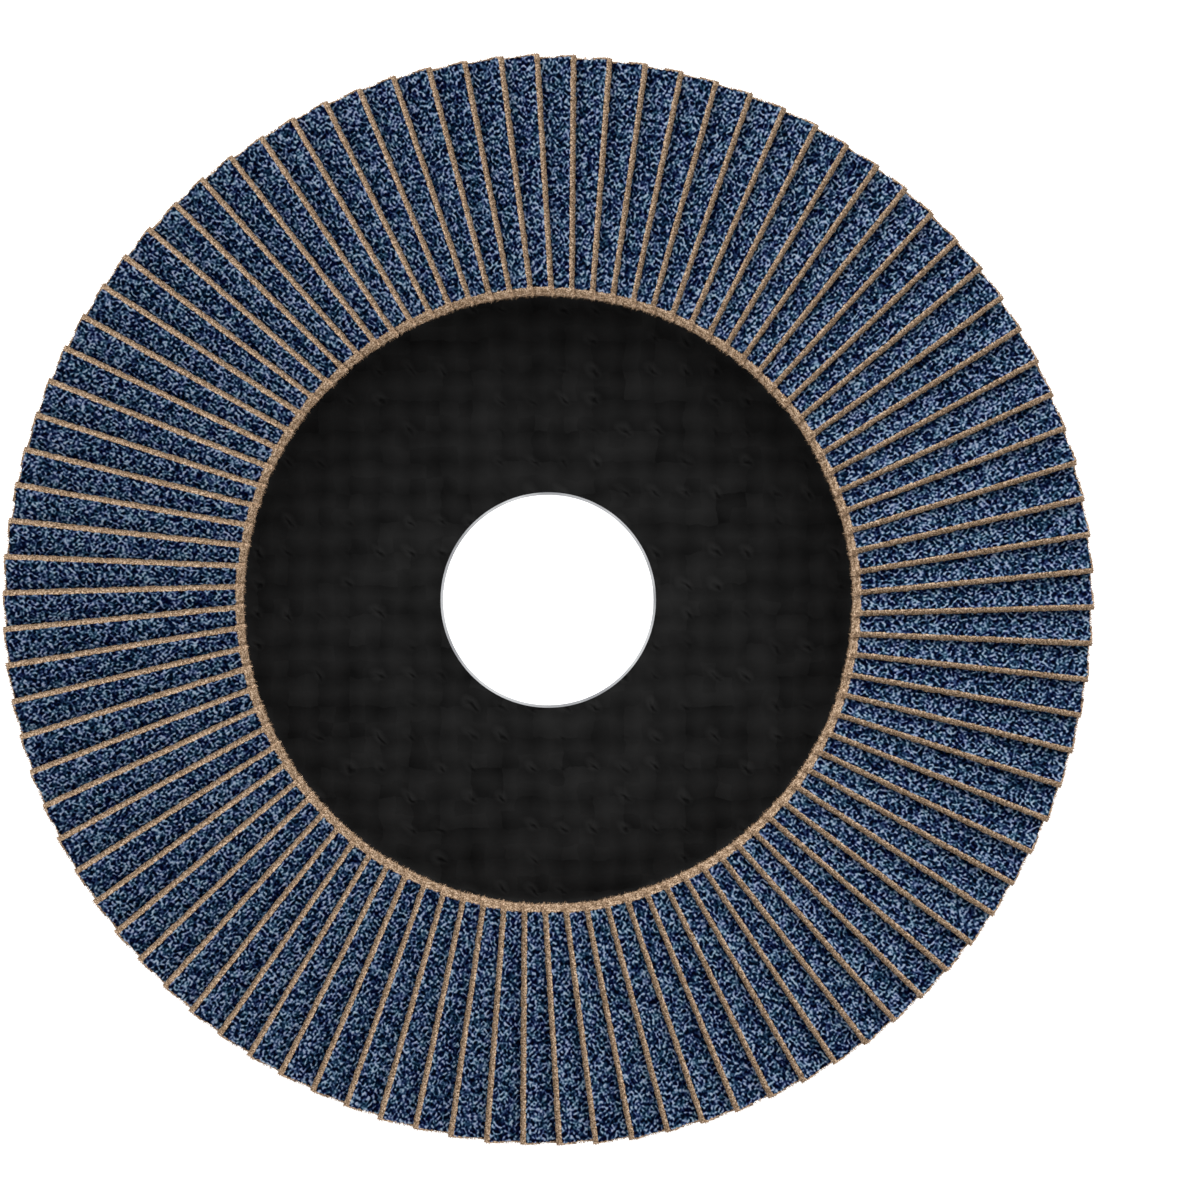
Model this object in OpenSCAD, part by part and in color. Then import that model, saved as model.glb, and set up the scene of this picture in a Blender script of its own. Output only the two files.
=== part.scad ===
/* [Disc] */
// Diameter over the corners of the flaps
disc_d = 115; // [105:1:150]
// Inner diameter of the ring of flaps
ring_in_d = 64; // [58:1:70]
/* [Bore] */
// Diameter of the hole that takes the spindle
bore_d = 22.23; // [16:0.01:25.4]
// Thickness of the thin steel ring that lines the hole
bore_ring_wall = 0.27; // [0.2:0.01:0.8]
/* [Backing plate] */
// Thickness of the pressed laminate
plate_t = 2.8; // [2:0.1:4]
// How far the hub stands out behind the flange that carries the flaps
hub_offset = 3; // [1.5:0.1:5]
// Radial width of the sloping wall between the hub and the flange
riser_run = 1.4; // [1:0.1:4]
// Radius of the bends on both sides of that wall
bend_r = 0.8; // [0.5:0.1:1.5]
// Radius on the edges of the rim
rim_r = 0.7; // [0.3:0.05:0.95]
// How far the flaps reach out past the rim
flap_overhang = 3.5; // [1:0.5:6]
/* [Flaps] */
// Number of flaps, two to a node
flap_count = 94; // [60:2:116]
// Size of a flap from its glued edge to its free edge
flap_w = 15; // [10:0.5:18]
// Thickness of the coated cloth
flap_t = 0.9; // [0.6:0.05:1.1]
// Room between neighbouring flaps at their inner ends, where they lie closest
flap_gap = 0.1; // [0.05:0.01:0.3]
// How far the free edge lies ahead of the radius that it runs along
flap_lead = 2.2; // [0:0.1:4]
// Clockwise turn of the first flap from the Y axis, in degrees
first_turn = 0.37; // [0:0.01:3]
/* [Adhesive] */
// Depth of the resin bed
bed_h = 2; // [1:0.1:3]
// Resin left under the glued edges
bed_under = 0.3; // [0.2:0.05:0.6]
// How far the resin stays inside the rim
bed_rim_margin = 2; // [1:0.25:4]
// How far the resin stays outside the inner ends of the glued edges
bed_end_margin = 0.2; // [0.1:0.05:1]

/* [Hidden] */
$fn = 180;
fillet_steps = 3;
// How far a cutting solid runs past the face that it cuts
cut_past = 1;
disc_r = disc_d / 2;
ring_in_r = ring_in_d / 2;
bore_r = bore_d / 2;

// Turn from each flap to the next
pitch = 360 / flap_count;
// Two neighbours are turned from each other by the pitch, so they part as they run out.
// The tilt is the one that leaves the gap at the inner end of the glued edge.
spread = 2 * sin(pitch / 2) * (ring_in_r * cos(pitch / 2) - (flap_w - flap_lead) * sin(pitch / 2));
tilt = asin((flap_t + flap_gap) / spread);
flap_run = flap_w * cos(tilt);
flap_rise = flap_w * sin(tilt);
glued_y = flap_run - flap_lead;
// Both outer corners of a flap lie on the circle over the flaps
free_out_x = sqrt(disc_r ^ 2 - (flap_lead + flap_t * sin(tilt)) ^ 2);
glued_out_x = sqrt(disc_r ^ 2 - glued_y ^ 2);

// The resin starts just outside the inner ends of the glued edges, and so does the flat of the flange
glued_in_r = norm([ring_in_r, glued_y]);
bed_in_r = glued_in_r + bed_end_margin;
riser_angle = atan(hub_offset / riser_run);
bend_reach = bend_r * tan(riser_angle / 2);
flange_in_r = bed_in_r - bend_reach;
hub_front_r = flange_in_r - riser_run;
hub_back_r = hub_front_r + plate_t * tan(riser_angle / 2);
plate_hole_r = bore_r + bore_ring_wall;
plate_r = disc_r - flap_overhang;
bed_out_r = plate_r - bed_rim_margin;
flange_z = hub_offset + plate_t;
free_z = flange_z + bed_under + flap_t * cos(tilt) + flap_rise;

pair_count = flap_count / 2;
function pair_name(i) = str("flap_pair_", i < 10 ? "0" : "", i);

function unit(v) = v / norm(v);

// Points of the arc that rounds corner b between its neighbours a and c, or b itself for no radius
function rounded(a, b, c, r) =
    r == 0 ? [b] :
    let (
        to_a = unit(a - b),
        to_c = unit(c - b),
        half = acos(to_a * to_c) / 2,
        centre = b + unit(to_a + to_c) * r / sin(half),
        from = b + to_a * r / tan(half) - centre,
        side = cross(to_a, to_c) > 0 ? -1 : 1,
        sweep = side * (180 - 2 * half)
    )
    [for (i = [0 : fillet_steps])
        let (turn = sweep * i / fillet_steps)
        centre + [from.x * cos(turn) - from.y * sin(turn), from.x * sin(turn) + from.y * cos(turn)]];

// Outline with a radius at each corner, from a list of [point, radius]
function rounded_outline(corners) =
    let (n = len(corners))
    [for (i = [0 : n - 1])
        each rounded(corners[(i + n - 1) % n][0], corners[i][0], corners[(i + 1) % n][0], corners[i][1])];

// Section of the backing plate: a flat hub, a sloping wall and a flat flange of one thickness
plate_section = rounded_outline([
    [[plate_hole_r, 0], 0],
    [[hub_back_r, 0], bend_r],
    [[hub_back_r + riser_run, hub_offset], bend_r],
    [[plate_r, hub_offset], rim_r],
    [[plate_r, flange_z], rim_r],
    [[flange_in_r, flange_z], bend_r],
    [[hub_front_r, plate_t], bend_r],
    [[plate_hole_r, plate_t], 0]
]);

// Flap laid flat, with its length along X and its free edge on the X axis
flap_outline = [
    [ring_in_r, 0],
    [free_out_x, 0],
    [glued_out_x, flap_w],
    [ring_in_r, flap_w]
];

// Pressed glass-fibre plate with its hub raised on the machine side
module backing_plate() {
    color([0.11, 0.11, 0.12])
    rotate_extrude()
    polygon(plate_section);
}

// Thin steel sleeve in the plate's hole
module bore_ring() {
    color("silver")
    difference() {
        cylinder(r = plate_hole_r, h = plate_t);
        translate([0, 0, -cut_past])
        cylinder(r = bore_r, h = plate_t + 2 * cut_past);
    }
}

// One flap in its place, counted clockwise from the Y axis as seen from the abrasive side
module flap(k) {
    rotate([0, 0, 90 - first_turn - k * pitch])
    translate([0, -flap_lead, free_z])
    rotate([-tilt, 0, 0])
    translate([0, 0, -flap_t])
    linear_extrude(flap_t)
    polygon(flap_outline);
}

// Corners of a ring that has one straight side to each flap
function ring_corners(r) = [for (k = [0 : flap_count - 1]) r * [cos(k * pitch), sin(k * pitch)]];

// Resin bed, with a slot for the glued edge of each flap
module adhesive_bed() {
    color([0.25, 0.22, 0.18])
    difference() {
        translate([0, 0, flange_z])
        linear_extrude(bed_h)
        polygon(ring_corners(bed_out_r));
        translate([0, 0, flange_z - cut_past])
        linear_extrude(bed_h + 2 * cut_past)
        polygon(ring_corners(bed_in_r));
        for (k = [0 : flap_count - 1]) {
            flap(k);
        }
    }
}

// Two neighbouring flaps as separate solids
module flap_pair(i) {
    color([0.2, 0.25, 0.35]) {
        flap(2 * i - 2);
        flap(2 * i - 1);
    }
}

backing_plate();
bore_ring();
adhesive_bed();
for (i = [1 : pair_count])
    flap_pair(i);
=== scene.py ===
import math
import random

import bmesh
import bpy
from mathutils import Matrix, Vector, noise


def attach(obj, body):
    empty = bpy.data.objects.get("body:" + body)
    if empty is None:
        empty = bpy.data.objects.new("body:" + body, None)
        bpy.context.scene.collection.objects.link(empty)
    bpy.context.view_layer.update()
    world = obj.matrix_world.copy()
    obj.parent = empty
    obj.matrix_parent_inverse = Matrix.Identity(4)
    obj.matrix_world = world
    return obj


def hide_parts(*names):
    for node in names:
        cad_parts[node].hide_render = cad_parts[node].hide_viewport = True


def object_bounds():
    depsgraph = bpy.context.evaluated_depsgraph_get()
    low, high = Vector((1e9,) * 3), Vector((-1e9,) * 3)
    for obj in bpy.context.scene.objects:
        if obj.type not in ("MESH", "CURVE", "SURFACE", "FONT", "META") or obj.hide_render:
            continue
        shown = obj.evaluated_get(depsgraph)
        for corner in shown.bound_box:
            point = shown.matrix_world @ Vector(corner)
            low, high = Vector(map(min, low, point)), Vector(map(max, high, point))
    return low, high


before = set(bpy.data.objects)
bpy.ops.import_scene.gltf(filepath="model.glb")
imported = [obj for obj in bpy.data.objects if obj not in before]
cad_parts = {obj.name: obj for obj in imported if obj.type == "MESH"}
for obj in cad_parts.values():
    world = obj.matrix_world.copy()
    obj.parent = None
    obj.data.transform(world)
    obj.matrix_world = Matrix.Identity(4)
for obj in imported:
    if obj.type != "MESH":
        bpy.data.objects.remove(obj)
cad_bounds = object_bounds()

# Backing plate
# One disc of glass-fibre cloth in black phenolic resin, pressed hot in a dished mould.
# Its section is drawn and spun, and the glass yarns under the skin show as a faint relief of pads.
MM = 0.001
near = 0.01 * MM
bore_d = 22.23 * MM
bore_ring_wall = 0.27 * MM
hole_r = bore_d / 2 + bore_ring_wall
plate_r = 54 * MM
plate_t = 2.8 * MM
hub_offset = 3 * MM
flange_in_r = 33.53 * MM
riser_run = 1.4 * MM
bend_r = 0.8 * MM
rim_r = 0.7 * MM
bend_steps = 5
plate_row = 0.55 * MM
plate_turns = 400


def pick(kind, test):
    """Selects the verts, edges or faces of the piece in edit mode whose middle passes the test."""
    bpy.ops.mesh.select_mode(type={"verts": "VERT", "edges": "EDGE", "faces": "FACE"}[kind])
    bpy.ops.mesh.select_all(action="DESELECT")
    shape = bmesh.from_edit_mesh(bpy.context.object.data)
    for part in getattr(shape, kind):
        if kind == "verts":
            middle = part.co
        elif kind == "edges":
            middle = (part.verts[0].co + part.verts[1].co) / 2
        else:
            middle = part.calc_center_median()
        part.select_set(bool(test(middle, part)))
    shape.select_flush_mode()
    bmesh.update_edit_mesh(bpy.context.object.data)


riser_angle = math.atan2(hub_offset, riser_run)
hub_front_r = flange_in_r - riser_run
hub_back_r = hub_front_r + plate_t * math.tan(riser_angle / 2)
flange_z = hub_offset + plate_t
bend_reach = bend_r * math.tan(riser_angle / 2)
# Each corner of the section, and how far its bend or rim radius reaches along the sides
plate_corners = [
    ((hole_r, 0), 0),
    ((hub_back_r, 0), bend_reach),
    ((hub_back_r + riser_run, hub_offset), bend_reach),
    ((plate_r, hub_offset), rim_r),
    ((plate_r, flange_z), rim_r),
    ((hub_front_r + riser_run, flange_z), bend_reach),
    ((hub_front_r, plate_t), bend_reach),
    ((hole_r, plate_t), 0),
]
corner_points = [point for point, reach in plate_corners]

# One corner of a plane is kept and drawn out into the section
bpy.ops.object.select_all(action="DESELECT")
bpy.ops.mesh.primitive_plane_add(size=plate_t, location=(0, 0, 0), enter_editmode=True)
plate = bpy.context.object
plate.name = plate.data.name = "plate_laminate"
pick("verts", lambda at, part: part.index > 0)
bpy.ops.mesh.delete(type="VERT")
bpy.ops.mesh.select_all(action="SELECT")
first_r, first_z = corner_points[0]
bpy.ops.transform.translate(value=(first_r + plate_t / 2, plate_t / 2, first_z))
for (r_from, z_from), (r_to, z_to) in zip(corner_points, corner_points[1:]):
    bpy.ops.mesh.extrude_region_move(
        TRANSFORM_OT_translate={"value": (r_to - r_from, 0, z_to - z_from)}
    )
pick("verts", lambda at, part: abs(at.x - hole_r) < near)
bpy.ops.mesh.edge_face_add()
for (r, z), reach in plate_corners:
    if reach:
        pick("verts", lambda at, part: abs(at.x - r) < near and abs(at.z - z) < near)
        bpy.ops.mesh.bevel(offset=reach, segments=bend_steps, affect="VERTICES")
for (r_from, z_from), (r_to, z_to) in zip(corner_points, corner_points[1:] + corner_points[:1]):
    rows = int(math.hypot(r_to - r_from, z_to - z_from) / plate_row)
    middle = Vector(((r_from + r_to) / 2, 0, (z_from + z_to) / 2))
    pick("edges", lambda at, part: (at - middle).length < bend_r and part.calc_length() > 2 * plate_row)
    bpy.ops.mesh.subdivide(number_cuts=max(1, rows))
bpy.ops.mesh.select_all(action="SELECT")
bpy.ops.mesh.spin(steps=plate_turns, angle=2 * math.pi, center=(0, 0, 0), axis=(0, 0, 1))
bpy.ops.mesh.select_all(action="SELECT")
bpy.ops.mesh.remove_doubles(threshold=near)
bpy.ops.mesh.normals_make_consistent(inside=False)
bpy.ops.object.mode_set(mode="OBJECT")

# The relief fades out at the holes, rims and bends, and it is pressed more or less deep in patches
mesh_pitch = 3.23 * MM
mesh_relief = 0.04 * MM
relief_edge = 0.8 * MM
press_patch = 9 * MM
press_mean = 0.75
press_swing = 0.5
flat_facing = 0.99


def pad_height(x, y):
    """Height of the skin over the glass mesh, from 0 where two gaps cross to 1 in a pad's middle."""
    along_x = math.cos(2 * math.pi * x / mesh_pitch)
    along_y = math.cos(2 * math.pi * y / mesh_pitch)
    return 0.5 + 0.25 * (along_x + along_y)


# A moved vertex turns the normals round it, so they are all read first
facings = [vertex.normal.z for vertex in plate.data.vertices]
for vertex, facing in zip(plate.data.vertices, facings):
    if abs(facing) > flat_facing:
        r = math.hypot(vertex.co.x, vertex.co.y)
        bends = [hub_front_r] if facing > 0 else [hub_back_r, hub_back_r + riser_run]
        fade = min(1, min(abs(r - e) for e in [hole_r, plate_r] + bends) / relief_edge)
        pressed = press_mean + press_swing * noise.noise(vertex.co / press_patch)
        sunk = 1 - pad_height(vertex.co.x, vertex.co.y)
        vertex.co.z -= facing * mesh_relief * fade * pressed * sunk


def linear(hex_colour):
    """An sRGB hex colour as the linear colour that shaders use."""
    parts = [int(hex_colour[i : i + 2], 16) / 255 for i in (0, 2, 4)]
    return [p / 12.92 if p <= 0.04045 else ((p + 0.055) / 1.055) ** 2.4 for p in parts] + [1]


def add(tree, kind, inputs={}, ramp=(), **settings):
    """Adds a node with its settings, its ramp's stops, and its inputs as values or links."""
    made = tree.nodes.new(kind)
    for name, value in settings.items():
        setattr(made, name, value)
    for name, value in inputs.items():
        if isinstance(value, bpy.types.NodeSocket):
            tree.links.new(value, made.inputs[name])
        else:
            made.inputs[name].default_value = value
    for i, (place, colour) in enumerate(ramp):
        stop = made.color_ramp.elements[i] if i < 2 else made.color_ramp.elements.new(place)
        stop.position = place
        stop.color = colour
    return made


def new_material(name):
    """An empty material and its node tree, with its surface shader."""
    material = bpy.data.materials.new(name)
    material.use_nodes = True
    return material, material.node_tree, material.node_tree.nodes["Principled BSDF"]


# Pressed phenolic laminate: a matt black skin with little gloss, uneven over the mesh of glass yarns.
# The mesh parts it into pads of slightly different tones, and resin has creased where gaps cross, each
# crease drawn with a painted highlight and painted shade.
laminate_black = "040404"
laminate_grey = "242424"
sway = 1.7 * MM
sway_size = 2.6 * MM
patch_size = 7 * MM
patch_share = 0.3
pad_share = 0.13
quarter_share = 0.15
gap_share_x = 0.14
gap_share_y = 0.18
crease_turn = math.radians(-40)
pore_size = 0.35 * MM
pore_share = 0.3
skin_depth = 0.08 * MM
laminate, tree, shader = new_material("pressed_phenolic_laminate")
place = add(tree, "ShaderNodeTexCoord").outputs["Object"]
# The yarns sway by up to 0.85 mm to either side
wander = add(tree, "ShaderNodeTexNoise", {"Vector": place, "Scale": 1 / sway_size, "Detail": 3.0})
to_and_fro = add(
    tree,
    "ShaderNodeVectorMath",
    {0: wander.outputs["Color"], 1: (sway, sway, 0), 2: (-sway / 2, -sway / 2, 0)},
    operation="MULTIPLY_ADD",
)
swayed = add(tree, "ShaderNodeVectorMath", {0: place, 1: to_and_fro.outputs["Vector"]}, operation="ADD")
# A pad's middle lies on the origin, and the textures start at an edge of a pad
to_edge = add(
    tree,
    "ShaderNodeMapping",
    {"Vector": swayed.outputs["Vector"], "Location": (mesh_pitch / 2, mesh_pitch / 2, 0)},
)
patches = add(tree, "ShaderNodeTexNoise", {"Vector": place, "Scale": 1 / patch_size, "Detail": 3.0})
tone = add(tree, "ShaderNodeMath", {0: patches.outputs["Fac"], 1: patch_share}, operation="MULTIPLY")
tone = tone.outputs[0]
# Each pad has its own tone, and so has each of its quarters
for cell, share in ((mesh_pitch, pad_share), (mesh_pitch / 2, quarter_share)):
    snapped = add(
        tree,
        "ShaderNodeVectorMath",
        {0: to_edge.outputs["Vector"], 1: (cell, cell, plate_r)},
        operation="SNAP",
    )
    own = add(tree, "ShaderNodeTexWhiteNoise", {"Vector": snapped.outputs["Vector"]})
    terms = {0: own.outputs["Value"], 1: share, 2: tone}
    tone = add(tree, "ShaderNodeMath", terms, operation="MULTIPLY_ADD").outputs[0]
# The gaps between the yarns are dark lines. A wave texture is darkest at zero and repeats after pi / 10
# of its scaled length
for direction, share in (("X", gap_share_x), ("Y", gap_share_y)):
    gaps = add(
        tree,
        "ShaderNodeTexWave",
        {"Vector": to_edge.outputs["Vector"], "Scale": math.pi / 10 / mesh_pitch},
        wave_type="BANDS",
        bands_direction=direction,
    )
    terms = {0: gaps.outputs["Fac"], 1: share, 2: tone}
    tone = add(tree, "ShaderNodeMath", terms, operation="MULTIPLY_ADD").outputs[0]
# A crease is a painted highlight, a pale spot, beside a dark slit of painted shade, askew where two gaps
# cross, and both go into the bump too. Three crossings in ten have none, and the others have deeper and
# shallower ones
at_crossing = add(
    tree,
    "ShaderNodeVectorMath",
    {0: swayed.outputs["Vector"], 1: (mesh_pitch, mesh_pitch, plate_r), 2: (0, 0, 0)},
    operation="WRAP",
)
crossing = add(
    tree,
    "ShaderNodeVectorMath",
    {0: swayed.outputs["Vector"], 1: (mesh_pitch, mesh_pitch, plate_r)},
    operation="SNAP",
)
chance = add(tree, "ShaderNodeTexWhiteNoise", {"Vector": crossing.outputs["Vector"]})
depth = add(
    tree,
    "ShaderNodeMapRange",
    {"Value": chance.outputs["Value"], "From Min": 0.3, "From Max": 0.8, "To Min": 0.0, "To Max": 1.0},
)
for (length, width), (along, across), share in (
    ((1.2 * MM, 0.75 * MM), (-0.15 * MM, 0.2 * MM), 0.6),
    ((0.8 * MM, 0.26 * MM), (0, 0), -0.7),
):
    slanted = add(
        tree,
        "ShaderNodeMapping",
        {
            "Vector": at_crossing.outputs["Vector"],
            "Location": (mesh_pitch / 2 + along, mesh_pitch / 2 + across, 0),
            "Rotation": (0, 0, crease_turn),
            "Scale": (length, width, 1),
        },
        vector_type="TEXTURE",
    )
    spot = add(
        tree,
        "ShaderNodeTexGradient",
        {"Vector": slanted.outputs["Vector"]},
        gradient_type="SPHERICAL",
    )
    terms = {0: spot.outputs["Fac"], 1: depth.outputs["Result"]}
    spot = add(tree, "ShaderNodeMath", terms, operation="MULTIPLY")
    terms = {0: spot.outputs[0], 1: share, 2: tone}
    tone = add(tree, "ShaderNodeMath", terms, operation="MULTIPLY_ADD").outputs[0]
skin_colour = add(
    tree,
    "ShaderNodeValToRGB",
    {"Fac": tone},
    ramp=[(0.15, linear(laminate_black)), (1, linear(laminate_grey))],
)
tree.links.new(skin_colour.outputs["Color"], shader.inputs["Base Color"])
pores = add(tree, "ShaderNodeTexNoise", {"Vector": place, "Scale": 1 / pore_size, "Detail": 3.0})
terms = {0: pores.outputs["Fac"], 1: pore_share, 2: tone}
skin_height = add(tree, "ShaderNodeMath", terms, operation="MULTIPLY_ADD")
skin = add(
    tree,
    "ShaderNodeBump",
    {"Height": skin_height.outputs[0], "Strength": 1.0, "Distance": skin_depth},
)
tree.links.new(skin.outputs["Normal"], shader.inputs["Normal"])
shader.inputs["Roughness"].default_value = 0.5
shader.inputs["Specular IOR Level"].default_value = 0.05
plate.data.materials.append(laminate)
bpy.ops.object.shade_smooth_by_angle(angle=math.radians(40))
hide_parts("backing_plate")
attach(plate, "root")

# Bore ring
# A strip of thin bright steel, rolled into a sleeve and pressed into the plate's hole.
# The solid's shape is right, and it gets the finish of rolled strip.
steel_light = "c9cacc"
steel_dark = "9a9b9e"
mark_length = 4 * MM
mark_gap = 0.15 * MM
# Rolled steel strip: half bright, with fine marks that run round the sleeve
strip, tree, shader = new_material("rolled_steel_strip")
place = add(tree, "ShaderNodeTexCoord").outputs["Object"]
# The marks lie close over one another, so the pattern is squeezed along Z
squeezed = add(
    tree,
    "ShaderNodeMapping",
    {"Vector": place, "Scale": (1 / mark_length, 1 / mark_length, 1 / mark_gap)},
)
marks = add(
    tree,
    "ShaderNodeTexNoise",
    {"Vector": squeezed.outputs["Vector"], "Scale": 1.0, "Detail": 2.0},
)
marks_colour = add(
    tree,
    "ShaderNodeValToRGB",
    {"Fac": marks.outputs["Fac"]},
    ramp=[(0.35, linear(steel_dark)), (0.65, linear(steel_light))],
)
tree.links.new(marks_colour.outputs["Color"], shader.inputs["Base Color"])
shader.inputs["Metallic"].default_value = 1.0
shader.inputs["Roughness"].default_value = 0.38
bore_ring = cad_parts["bore_ring"]
bore_ring.data.materials.clear()
bore_ring.data.materials.append(strip)

# Adhesive bed
# Filled epoxy resin, poured in a ring on the flange and cured round the lower edges of the flaps.
# The solid's shape is right, and it gets the finish of a dark cured resin.
resin_dark = "2c2823"
resin_light = "463f36"
cloud_size = 2 * MM
ripple_depth = 0.1 * MM
# Cured epoxy resin: dark and half glossy, clouded by its filler
resin, tree, shader = new_material("cured_epoxy_resin")
place = add(tree, "ShaderNodeTexCoord").outputs["Object"]
clouds = add(tree, "ShaderNodeTexNoise", {"Vector": place, "Scale": 1 / cloud_size, "Detail": 4.0})
clouds_colour = add(
    tree,
    "ShaderNodeValToRGB",
    {"Fac": clouds.outputs["Fac"]},
    ramp=[(0.3, linear(resin_dark)), (0.7, linear(resin_light))],
)
tree.links.new(clouds_colour.outputs["Color"], shader.inputs["Base Color"])
ripple = add(
    tree,
    "ShaderNodeBump",
    {"Height": clouds.outputs["Fac"], "Strength": 0.4, "Distance": ripple_depth},
)
tree.links.new(ripple.outputs["Normal"], shader.inputs["Normal"])
shader.inputs["Roughness"].default_value = 0.42
adhesive_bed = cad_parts["adhesive_bed"]
adhesive_bed.data.materials.clear()
adhesive_bed.data.materials.append(resin)

# Abrasive flaps
# Ninety-four rectangles cut from a roll of coated cloth: cotton and polyester yarns that carry blue
# zirconia grain in resin. Each lies on its clockwise neighbour, glued at its lower edge.
flap_count = 94
disc_r = 57.5 * MM
ring_in_r = 32 * MM
flap_w = 15 * MM
flap_t = 0.9 * MM
flap_gap = 0.1 * MM
flap_lead = 2.2 * MM
first_turn = math.radians(0.37)
# Before it is roughened, the flap lies this far inside its solid, and its outer end stands proud
set_back = 0.05 * MM
in_set_back = 0.17 * MM
top_set_back = 0.06 * MM
end_proud = 0.08 * MM
worn_corner = 0.06 * MM
shown_w = 5.2 * MM
grid_step = 0.25 * MM
wall_rows = 3
# The grain stops short of the edges, and the bare cloth at the inner end sinks
margin_free = 0.17 * MM
margin_in = 0.82 * MM
margin_out = 0.1 * MM
margin_drop = 0.42 * MM
drop_curve = 1.5

pitch = 2 * math.pi / flap_count
spread = 2 * math.sin(pitch / 2) * (
    ring_in_r * math.cos(pitch / 2) - (flap_w - flap_lead) * math.sin(pitch / 2)
)
tilt = math.asin((flap_t + flap_gap) / spread)
glued_y = flap_w * math.cos(tilt) - flap_lead
free_out_x = math.sqrt(disc_r**2 - (flap_lead + flap_t * math.sin(tilt)) ** 2) + end_proud
glued_out_x = math.sqrt(disc_r**2 - glued_y**2) + end_proud
end_slant = (free_out_x - glued_out_x) / flap_w
free_z = cad_bounds[1][2]
in_x = ring_in_r + in_set_back
flap_l = free_out_x - in_x
far_y = set_back + shown_w

# The flap is made lying flat, its free edge along X. The top has a fine grid where it shows, and the
# outer end is cut to the disc's circle
bpy.ops.object.select_all(action="DESELECT")
bpy.ops.mesh.primitive_grid_add(
    x_subdivisions=round(flap_l / grid_step),
    y_subdivisions=round(shown_w / grid_step),
    size=1,
    enter_editmode=True,
)
flap = bpy.context.object
flap.name = flap.data.name = "abrasive_flap"
bpy.ops.mesh.select_all(action="SELECT")
bpy.ops.transform.resize(value=(flap_l, shown_w, 1), center_override=(0, 0, 0))
bpy.ops.transform.translate(value=(in_x + flap_l / 2, set_back + shown_w / 2, -top_set_back))
pick("edges", lambda at, part: at.y > far_y - near)
bpy.ops.mesh.extrude_region_move(TRANSFORM_OT_translate={"value": (0, flap_w - far_y, 0)})
bpy.ops.mesh.select_all(action="SELECT")
bpy.ops.mesh.bisect(plane_co=(free_out_x, 0, 0), plane_no=(1, end_slant, 0), clear_outer=True)
bpy.ops.mesh.select_all(action="SELECT")
bpy.ops.mesh.remove_doubles(threshold=2 * near)
bpy.ops.mesh.select_all(action="SELECT")
for row in range(wall_rows):
    bpy.ops.mesh.extrude_region_move(
        TRANSFORM_OT_translate={"value": (0, 0, (top_set_back - flap_t) / wall_rows)}
    )
bpy.ops.mesh.dissolve_faces()
pick("faces", lambda at, part: at.y > flap_w - near)
bpy.ops.mesh.dissolve_faces()
bpy.ops.mesh.select_all(action="SELECT")
bpy.ops.mesh.normals_make_consistent(inside=False)
# The cut edges are soft, so the corner between the top and the free edge is worn round
pick("verts", lambda at, part: at.y < set_back + near and at.z > -top_set_back - near)
bpy.ops.transform.translate(value=(0, worn_corner, -worn_corner))


def drop(x):
    """How far the bare cloth sinks, towards its inner end, below the level of the coat."""
    return margin_drop * max(0, 1 - (x - in_x) / margin_in) ** drop_curve


shape = bmesh.from_edit_mesh(flap.data)
for vert in shape.verts:
    if vert.co.y < far_y + near:
        vert.co.z += drop(vert.co.x) * (-flap_t - vert.co.z) / (flap_t - top_set_back)
bmesh.update_edit_mesh(flap.data)
sheet_verts = len(shape.verts)

# Cut yarns fray into short fibres on the three open edges, and longer ones reach out at the two ends
# and close the gap beside the inner end
fibre_r = 0.035 * MM
fibre_step = 0.08 * MM
fibre_reach = 0.1 * MM
end_fibre_reach = 0.25 * MM
fibre_stray = 0.7
in_end_shown = 2.8 * MM
out_end_shown = 4.8 * MM
# Each open edge has a start, a way along it and a way out
free_edge = ((in_x, set_back), (1, 0), (0, -1))
inner_end = ((in_x, 0), (0, 1), (-1, 0))
outer_end = ((free_out_x, 0), (-end_slant, 1), (1, 0))
random.seed(94)
for ((start_x, start_y), (along_x, along_y), (out_x, out_y)), length, reach in (
    (free_edge, flap_l, fibre_reach),
    (free_edge, margin_in, end_fibre_reach),
    (free_edge, margin_in, end_fibre_reach),
    (inner_end, in_end_shown, end_fibre_reach),
    (outer_end, out_end_shown, end_fibre_reach),
):
    for i in range(int(length / fibre_step)):
        s = (i + random.uniform(0.1, 0.9)) * fibre_step
        at = Vector((start_x + along_x * s, start_y + along_y * s, 0))
        at.z = random.uniform(-flap_t + fibre_r, -top_set_back - drop(at.x) - 3 * fibre_r)
        stray = Vector([random.uniform(-fibre_stray, fibre_stray) for axis in range(3)])
        aim = Vector((out_x, out_y, 0)) + stray
        # Fibres of the free edge point down, off the coat, and those of the ends stay nearer level
        aim.z = -abs(aim.z) if out_y else aim.z * 0.5
        aim.normalize()
        length_out = reach * random.uniform(0.5, 1.5)
        bpy.ops.mesh.primitive_cone_add(
            vertices=3,
            radius1=fibre_r,
            depth=length_out + fibre_r,
            location=at + aim * (length_out - fibre_r) / 2,
            rotation=aim.to_track_quat("Z", "Y").to_euler(),
        )
bpy.ops.object.mode_set(mode="OBJECT")

# The map unrolls the flap's top and its free edge, in millimetres
cloth_map = flap.data.uv_layers.new(name="cloth_map")
for face in flap.data.polygons:
    on_edge = abs(face.normal.y) > 0.5
    for corner in face.loop_indices:
        x, y, z = flap.data.vertices[flap.data.loops[corner].vertex_index].co / MM
        cloth_map.data[corner].uv = (x, y + z if on_edge else y)
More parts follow.
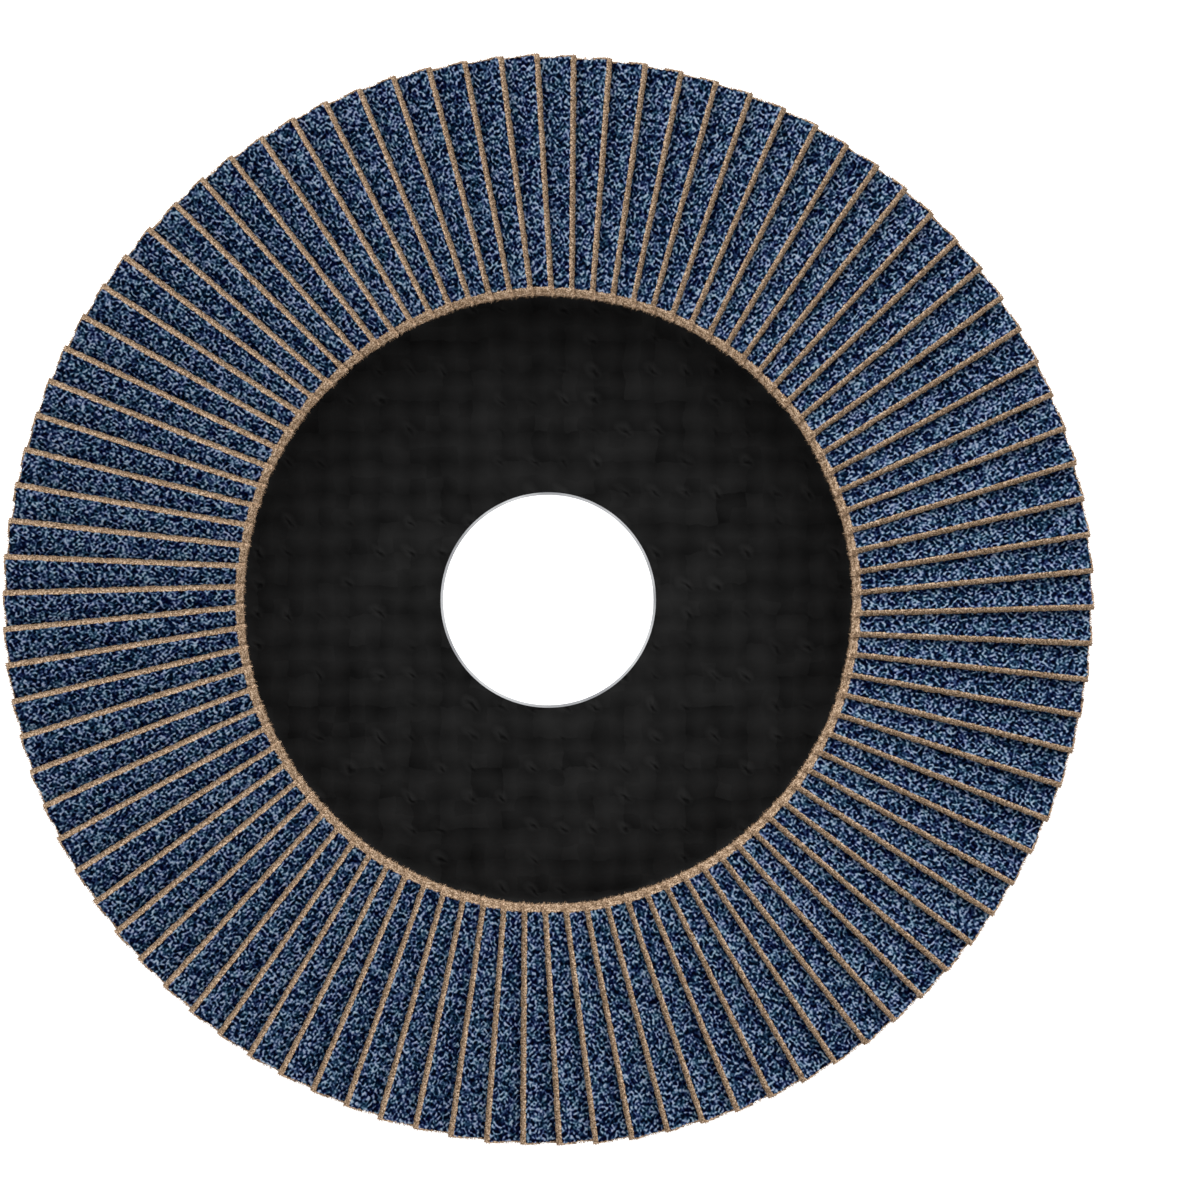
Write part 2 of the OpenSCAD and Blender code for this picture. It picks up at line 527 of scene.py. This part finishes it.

# Two attributes carry how far inside the field of grain each point lies, in millimetres, and the cloth's
# tone, with painted shade and light. The ends of cut fibres are pale. The free edge gets painted shade
# low down, close over its neighbour, and painted light that lifts its shadow at its inner end, where
# fibres are brushed over it
below_top_gain = 5
fibre_tone = 1.45
inner_tone = 1.04
painted_lift_gain = 0.35
painted_shade_loss = 0.45
shade_from = 0.3 * MM
shade_run = 0.5 * MM
above_glue = flap.vertex_groups.new(name="above_glue")
depths = []
tones_and_shades = []
for i, vertex in enumerate(flap.data.vertices):
    x, y, z = vertex.co
    inside = min(
        x - in_x - margin_in,
        y - set_back - margin_free,
        free_out_x - margin_out - x - end_slant * y,
    )
    depths.append((inside + min(0, z + top_set_back + near) * below_top_gain) / MM)
    if y < flap_w - near:
        above_glue.add([i], 1, "REPLACE")
    low = min(1, max(0, (-z - shade_from) / shade_run))
    at_inner_end = x < in_x + margin_in
    if i >= sheet_verts and (at_inner_end or x > free_out_x - margin_out):
        tones_and_shades.append(fibre_tone)
    # Painted shade darkens the free edge low down, and at its inner end painted light lifts it instead
    elif y < set_back + near:
        tones_and_shades.append(1 + painted_lift_gain * low if at_inner_end else 1 - painted_shade_loss * low)
    else:
        tones_and_shades.append(inner_tone if at_inner_end else 1)
for name, values in (("coat_depth", depths), ("cloth_tone_and_shade", tones_and_shades)):
    flap.data.attributes.new(name, "FLOAT", "POINT").data.foreach_set("value", values)

flap.data.transform(
    Matrix.Rotation(math.pi / 2 - first_turn, 4, "Z")
    @ Matrix.Translation((0, -flap_lead, free_z))
    @ Matrix.Rotation(-tilt, 4, "X")
)

# Zirconia grain on tan cloth: dull blue grains, darker between them, with painted highlights and glints
# on their tops, and bare yarns at the cut edges.
grain_pit = "000109"
grain_shade = "000922"
grain_blue = "132642"
grain_light = "2e4662"
grain_highlight = "6f829d"
grain_glint = "95a2b5"
cloth_shade = "4a3a2a"
cloth_tan = "947a61"
cloth_light = "e0c6ac"
grain_gap = 0.29 * MM
beside = 0.32 * MM
beside_share = 0.15
row_gap = 0.6 * MM
row_floor = 0.46
row_width = 0.2
tint_size = 0.9 * MM
yarn_w = 0.24
yarn_l = 0.7
fibre_size = 0.16 * MM
fibre_share = 0.6
ragged_size = 0.25 * MM
ragged_reach = 0.4
ragged_blend = 0.04
grain_relief = 0.14 * MM
coated_cloth, tree, shader = new_material("zirconia_coated_cloth")
place = add(tree, "ShaderNodeTexCoord").outputs["Object"]
# Some noises are read from a place aside, so that they don't follow the grains
aside = add(tree, "ShaderNodeMapping", {"Vector": place, "Location": (0.037, 0.011, 0.053)})
aside = aside.outputs["Vector"]
# Grains lie 0.29 mm apart. A spread coat spaces them evenly, so where a grain lies, the places 0.32 mm
# to each side of it are low
sides = ((beside, 0), (-beside, 0), (0, beside), (0, -beside))
grains = beside_share * len(sides) / 2
for (x, y), share in [((0, 0), 1)] + [(side, -beside_share) for side in sides]:
    moved = add(tree, "ShaderNodeMapping", {"Vector": place, "Location": (x, y, 0)})
    moved = moved.outputs["Vector"]
    lumps = add(tree, "ShaderNodeTexNoise", {"Vector": moved, "Scale": 1 / grain_gap, "Detail": 0.0})
    terms = {0: lumps.outputs["Fac"], 1: share, 2: grains}
    grains = add(tree, "ShaderNodeMath", terms, operation="MULTIPLY_ADD").outputs[0]
# Resin joins them in winding rows, 0.6 mm apart, which follow the middle level of a second noise
winding = add(tree, "ShaderNodeTexNoise", {"Vector": aside, "Scale": 1 / row_gap, "Detail": 0.0})
off_middle = add(tree, "ShaderNodeMath", {0: winding.outputs["Fac"], 1: 0.5}, operation="SUBTRACT")
off_row = add(tree, "ShaderNodeMath", {0: off_middle.outputs[0]}, operation="ABSOLUTE")
rows = add(
    tree,
    "ShaderNodeMapRange",
    {
        "Value": off_row.outputs[0],
        "From Min": 0.0,
        "From Max": row_width,
        "To Min": 1.0,
        "To Max": row_floor,
    },
)
grain_height = add(tree, "ShaderNodeMath", {0: grains, 1: rows.outputs["Result"]}, operation="MULTIPLY")
# The grains' tops are lighter, and the two palest stops are painted highlights and painted glints
grains_colour = add(
    tree,
    "ShaderNodeValToRGB",
    {"Fac": grain_height.outputs[0]},
    ramp=[
        (0.14, linear(grain_pit)),
        (0.24, linear(grain_shade)),
        (0.33, linear(grain_blue)),
        (0.42, linear(grain_light)),
        (0.55, linear(grain_highlight)),
        (0.68, linear(grain_glint)),
    ],
)
# The grain shifts a little from violet to teal, in spots of 0.9 mm
tints = add(tree, "ShaderNodeTexNoise", {"Vector": aside, "Scale": 1 / tint_size})
shift = add(
    tree,
    "ShaderNodeMapRange",
    {"Value": tints.outputs["Fac"], "From Min": 0.35, "From Max": 0.65, "To Min": 0.48, "To Max": 0.52},
)
grains_colour = add(
    tree,
    "ShaderNodeHueSaturation",
    {"Hue": shift.outputs["Result"], "Color": grains_colour.outputs["Color"]},
)
# Yarns run out over the free edge as flecks 0.24 by 0.7 mm, and their fibres are drawn 0.16 mm thick,
# coarse enough to show. The noise is turned, so that its own grid doesn't follow the edge
unrolled = add(tree, "ShaderNodeUVMap", uv_map="cloth_map").outputs["UV"]
turned = add(
    tree,
    "ShaderNodeMapping",
    {"Vector": unrolled, "Rotation": (0, 0, math.radians(-30)), "Scale": (1 / yarn_w, 1 / yarn_l, 1)},
)
turned = turned.outputs["Vector"]
yarns = add(tree, "ShaderNodeTexNoise", {"Vector": turned, "Scale": 1.0, "Detail": 1.0})
fibres = add(
    tree,
    "ShaderNodeTexNoise",
    {"Vector": place, "Scale": 1 / fibre_size, "Detail": 1.0, "Roughness": 0.6},
)
cloth_height = add(
    tree,
    "ShaderNodeMix",
    {0: fibre_share, 2: yarns.outputs["Fac"], 3: fibres.outputs["Fac"]},
    data_type="FLOAT",
)
cloth_colour = add(
    tree,
    "ShaderNodeValToRGB",
    {"Fac": cloth_height.outputs[0]},
    ramp=[
        (0.34, linear(cloth_shade)),
        (0.5, linear(cloth_tan)),
        (0.66, linear(cloth_light)),
    ],
)
# The cloth's tone, its painted shade and painted light included, scales its colour
tone = add(tree, "ShaderNodeAttribute", attribute_name="cloth_tone_and_shade").outputs["Fac"]
cloth_colour = add(
    tree,
    "ShaderNodeVectorMath",
    {0: cloth_colour.outputs["Color"], "Scale": tone},
    operation="SCALE",
)
# The coat's edge is ragged, 0.2 mm to each side of its line at most
depth = add(tree, "ShaderNodeAttribute", attribute_name="coat_depth").outputs["Fac"]
ragged = add(tree, "ShaderNodeTexNoise", {"Vector": place, "Scale": 1 / ragged_size, "Detail": 1.0})
terms = {0: ragged.outputs["Fac"], 1: ragged_reach, 2: -ragged_reach / 2}
edge_of_coat = add(tree, "ShaderNodeMath", terms, operation="MULTIPLY_ADD")
covered = add(tree, "ShaderNodeMath", {0: depth, 1: edge_of_coat.outputs[0]}, operation="ADD")
cover = add(
    tree,
    "ShaderNodeMapRange",
    {"Value": covered.outputs[0], "From Min": -ragged_blend, "From Max": ragged_blend},
)
surface = add(
    tree,
    "ShaderNodeMix",
    {
        "Factor": cover.outputs["Result"],
        6: cloth_colour.outputs["Vector"],
        7: grains_colour.outputs["Color"],
    },
    data_type="RGBA",
)
tree.links.new(surface.outputs[2], shader.inputs["Base Color"])
relief = add(
    tree,
    "ShaderNodeMix",
    {0: cover.outputs["Result"], 2: cloth_height.outputs[0], 3: grain_height.outputs[0]},
    data_type="FLOAT",
)
rough = add(
    tree,
    "ShaderNodeBump",
    {"Height": relief.outputs[0], "Strength": 1.0, "Distance": grain_relief},
)
tree.links.new(rough.outputs["Normal"], shader.inputs["Normal"])
shader.inputs["Roughness"].default_value = 0.75
shader.inputs["Specular IOR Level"].default_value = 0.02
flap.data.materials.append(coated_cloth)

# The coat is rough and the cut edges are frayed, in a cloud pattern of 0.5 mm, all but the glued edge
grit = bpy.data.textures.new("grit", "CLOUDS")
grit.noise_scale = 0.5 * MM
grit.noise_depth = 1
grit_height = 0.2 * MM
# Flaps are laid by machine, and each slips a little in or out
slip_in = 0.1 * MM
slip_out = 0.03 * MM
first_way_out = Matrix.Rotation(math.pi / 2 - first_turn, 4, "Z") @ Vector((1, 0, 0))
for i in range(flap_count // 2):
    bpy.ops.object.select_all(action="DESELECT")
    pair = []
    for k in (2 * i, 2 * i + 1):
        copy = flap.copy()
        copy.data = flap.data.copy()
        bpy.context.collection.objects.link(copy)
        slip = first_way_out * random.uniform(-slip_in, slip_out)
        copy.data.transform(Matrix.Rotation(-k * pitch, 4, "Z") @ Matrix.Translation(slip))
        copy.select_set(True)
        pair.append(copy)
    bpy.context.view_layer.objects.active = pair[0]
    bpy.ops.object.join()
    pair = pair[0]
    pair.name = pair.data.name = f"abrasive_flaps_{i + 1:02d}"
    displace = pair.modifiers.new("grit", "DISPLACE")
    displace.texture = grit
    displace.texture_coords = "LOCAL"
    displace.vertex_group = "above_glue"
    displace.mid_level = 0.5
    displace.strength = grit_height
    bpy.ops.object.modifier_apply(modifier=displace.name)
    bpy.ops.object.shade_smooth_by_angle(angle=math.radians(60))
    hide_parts(f"flap_pair_{i + 1:02d}")
    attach(pair, "root")
bpy.data.objects.remove(flap)

# Floor
# A plain light table of white acrylic, wide enough to fill the view.
# It glows evenly, so that the disc's shadow stays faint.
acrylic_white = "f6f6f6"
bpy.ops.object.select_all(action="DESELECT")
bpy.ops.mesh.primitive_plane_add(size=4, location=(0, 0, 0))
floor = bpy.context.object
floor.name = floor.data.name = "floor"
board, tree, shader = new_material("white_acrylic")
shader.inputs["Base Color"].default_value = linear(acrylic_white)
shader.inputs["Roughness"].default_value = 0.9
shader.inputs["Specular IOR Level"].default_value = 0.1
shader.inputs["Emission Color"].default_value = (1, 1, 1, 1)
shader.inputs["Emission Strength"].default_value = 0.7
floor.data.materials.append(board)

# Light
# An even dome, and a soft box over the top edge of the picture.
# The box gives the flaps' edges a light side and a shaded one.
key_turn = math.radians(92)
key_height = math.radians(42)
key_away = 1.2
world = bpy.data.worlds.new("studio")
bpy.context.scene.world = world
world.use_nodes = True
dome = world.node_tree.nodes["Background"]
dome.inputs["Color"].default_value = (1, 1, 1, 1)
dome.inputs["Strength"].default_value = 0.92
soft_box = bpy.data.lights.new("key", "AREA")
soft_box.energy = 11.8
soft_box.shape = "DISK"
soft_box.size = 1.6
key = bpy.data.objects.new("key", soft_box)
bpy.context.collection.objects.link(key)
to_key = Matrix.Rotation(key_turn, 4, "Z") @ Matrix.Rotation(-key_height, 4, "Y")
key.location = to_key @ Vector((key_away, 0, 0))
key.rotation_euler = key.location.to_track_quat("Z", "Y").to_euler()
key.visible_camera = False

# Camera
# Straight over the disc, on a long lens, with the disc a little left of the middle.
# The frame is 1200 pixels wide at 9.486 pixels to a millimetre, level with the flaps' free edges.
frame_px = 1200
px_per_mm = 9.486
disc_middle_px = 548.25
camera_z = 4
view_w = frame_px / px_per_mm * MM
camera_data = bpy.data.cameras.new("camera")
camera_data.sensor_width = 36
camera_data.lens = camera_data.sensor_width * (camera_z - free_z) / view_w
camera_data.shift_x = (frame_px / 2 - disc_middle_px) / frame_px
camera_data.clip_start = 0.1
camera = bpy.data.objects.new("camera", camera_data)
bpy.context.collection.objects.link(camera)
camera.location = (0, 0, camera_z)
bpy.context.scene.camera = camera
bpy.context.scene.view_settings.view_transform = "Standard"
